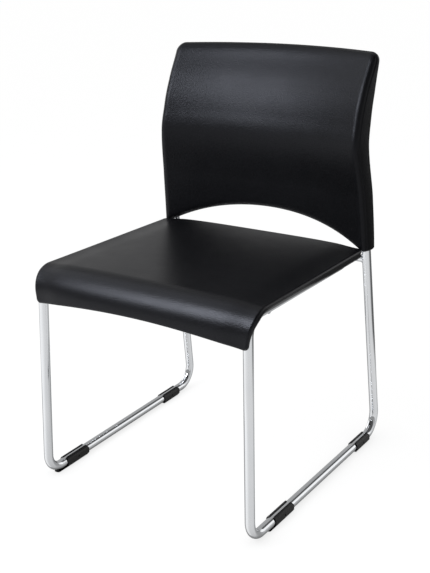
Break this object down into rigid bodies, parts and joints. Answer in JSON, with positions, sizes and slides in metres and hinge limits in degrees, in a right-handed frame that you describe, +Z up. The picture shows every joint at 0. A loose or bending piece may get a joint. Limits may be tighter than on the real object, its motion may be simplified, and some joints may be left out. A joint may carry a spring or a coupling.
{
  "type": "sled base visitor chair",
  "caption": "Armless visitor chair: black vinyl waterfall seat and arched back on a chromed bent-tube sled base with black clip-on glides.",
  "frame": {"origin": "on the floor, under the middle of the chair's bounding box", "axes": "+Z up, +Y to the rear of the chair, +X to the left hand of someone seated in it"},
  "size_m": [0.5217, 0.5696, 0.853],
  "materials": {
    "chrome": "bright chrome plate on bent steel tube",
    "seat_vinyl": "black upholstery vinyl with a fine leather grain, satin",
    "back_vinyl": "black upholstery vinyl with a fine leather grain, satin",
    "shell_plastic": "black moulded plastic, fine texture",
    "glide_plastic": "black moulded plastic, satin",
    "plug_plastic": "black moulded plastic, satin",
    "zinc": "bright zinc-plated steel"
  },
  "bodies": {
    "root": {"side_frame_right": "chrome", "upright_end_plug_right": "plug_plastic", "glide_front_right": "glide_plastic", "glide_rear_right": "glide_plastic", "back_screw_right": "zinc", "side_frame_left": "chrome", "upright_end_plug_left": "plug_plastic", "glide_front_left": "glide_plastic", "glide_rear_left": "glide_plastic", "back_screw_left": "zinc", "rear_cross_tube": "chrome", "front_cross_tube": "chrome", "seat_tab_front_right": "chrome", "seat_screw_front_right": "zinc", "seat_tab_front_left": "chrome", "seat_screw_front_left": "zinc", "seat_tab_rear_right": "chrome", "seat_screw_rear_right": "zinc", "seat_tab_rear_left": "chrome", "seat_screw_rear_left": "zinc", "seat_shell": "shell_plastic", "seat_pad": "seat_vinyl", "back_shell": "shell_plastic", "back_front_pad": "back_vinyl", "back_rear_pad": "back_vinyl"}
  },
  "joints": []
}
